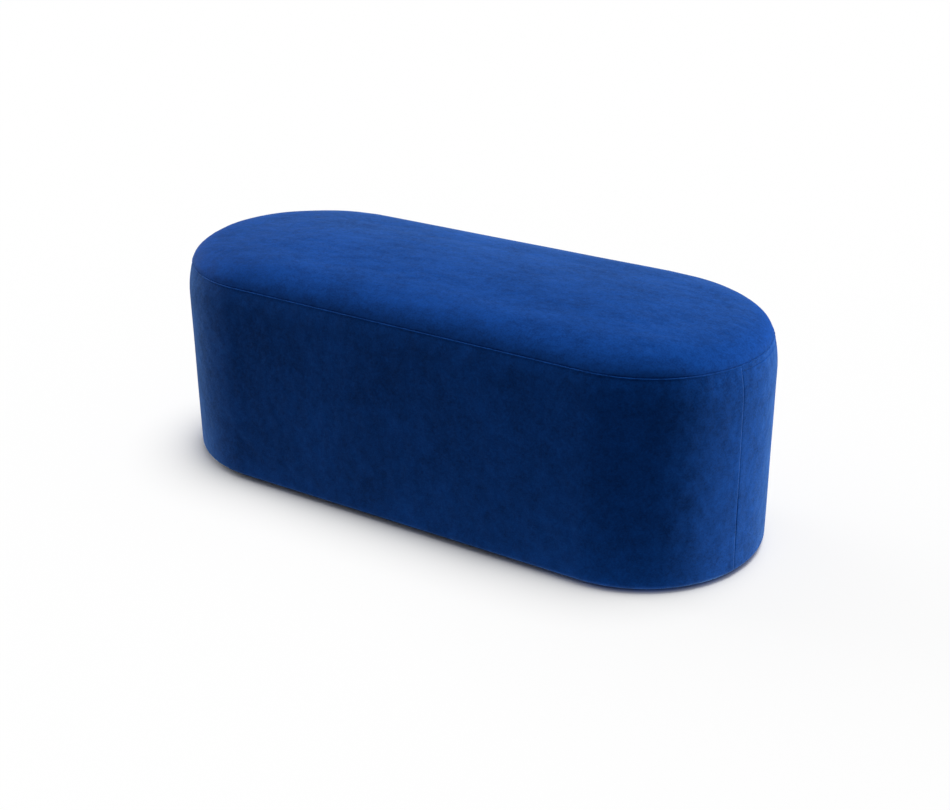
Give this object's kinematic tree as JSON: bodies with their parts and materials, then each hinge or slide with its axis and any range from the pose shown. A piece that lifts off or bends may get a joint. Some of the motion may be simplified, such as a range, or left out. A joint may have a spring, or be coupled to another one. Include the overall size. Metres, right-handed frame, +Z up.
{
  "type": "upholstered bench",
  "caption": "Long pill-shaped bench with round ends, a crowned padded seat and straight sides in a sewn velvet cover, for sitting on at a hall, bed or table.",
  "frame": {"origin": "on the floor under the middle of the bench", "axes": "+X along the bench to the right seen from the front, +Y to the back, +Z up"},
  "size_m": [1.1998, 0.466, 0.444],
  "materials": {
    "velvet": "royal blue velvet pile",
    "wadding": "white polyester wadding",
    "foam": "cream polyurethane foam",
    "plywood": "unfinished plywood",
    "timber": "planed softwood",
    "webbing": "woven elastic webbing",
    "platform_cloth": "grey needle felt",
    "dust_cloth": "black non-woven cloth",
    "glide": "moulded black plastic",
    "steel": "zinc plated"
  },
  "bodies": {
    "root": {"back_band": "velvet", "back_side_foam": "foam", "back_skin": "plywood", "base_board": "plywood", "cross_rib_1": "plywood", "cross_rib_2": "plywood", "cross_rib_3": "plywood", "cross_rib_4": "plywood", "dust_cover": "dust_cloth", "dust_cover_staples": "steel", "end_post_left_back": "timber", "end_post_left_front": "timber", "end_post_left_tip": "timber", "end_post_right_back": "timber", "end_post_right_front": "timber", "end_post_right_tip": "timber", "frame_screws": "steel", "front_band": "velvet", "front_side_foam": "foam", "front_skin": "plywood", "glide_back_left": "glide", "glide_back_middle": "glide", "glide_back_right": "glide", "glide_front_left": "glide", "glide_front_middle": "glide", "glide_front_right": "glide", "glide_screws": "steel", "hem_staples": "steel", "platform_cloth": "platform_cloth", "seat_foam": "foam", "seat_ring": "plywood", "seat_wadding": "wadding", "skin_staples": "steel", "top_cover": "velvet", "webbing_staples": "steel", "webbing_strap_01": "webbing", "webbing_strap_02": "webbing", "webbing_strap_03": "webbing", "webbing_strap_04": "webbing", "webbing_strap_05": "webbing", "webbing_strap_06": "webbing", "webbing_strap_07": "webbing", "webbing_strap_08": "webbing", "webbing_strap_09": "webbing", "webbing_strap_10": "webbing"}
  },
  "joints": []
}
